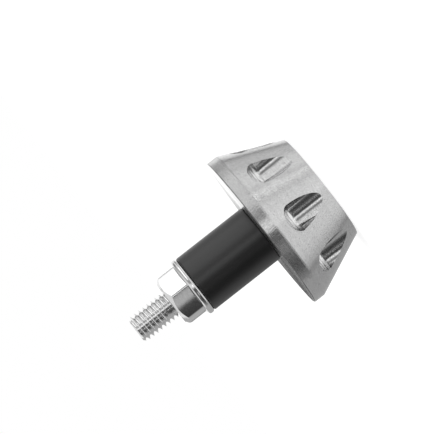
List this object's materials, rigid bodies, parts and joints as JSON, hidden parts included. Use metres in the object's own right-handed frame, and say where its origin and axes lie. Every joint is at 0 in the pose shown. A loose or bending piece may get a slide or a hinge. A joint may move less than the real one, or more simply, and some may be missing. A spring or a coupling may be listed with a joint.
{
  "type": "bar end weight",
  "caption": "Turned aluminium bar end weight with drilled grip pockets, a recessed socket screw, and a rubber bush and flange nut that clamp it inside a handlebar tube.",
  "frame": {"origin": "centre of the cup's mouth, on the plane of its lip, which is the lowest face", "axes": "+Z along the common axis of all pieces, from the cup's mouth to the tip of the thread; +X through the middle of one grip pocket"},
  "size_m": [0.0344, 0.0344, 0.046],
  "materials": {
    "turned_aluminium": "fine turned, clear anodised",
    "screw_zinc": "zinc plated",
    "nut_zinc": "bright zinc plated",
    "bush_rubber": "matt moulded"
  },
  "bodies": {
    "root": {"end_weight": "turned_aluminium", "clamp_screw": "screw_zinc", "rubber_bush": "bush_rubber", "flange_nut": "nut_zinc"}
  },
  "joints": []
}
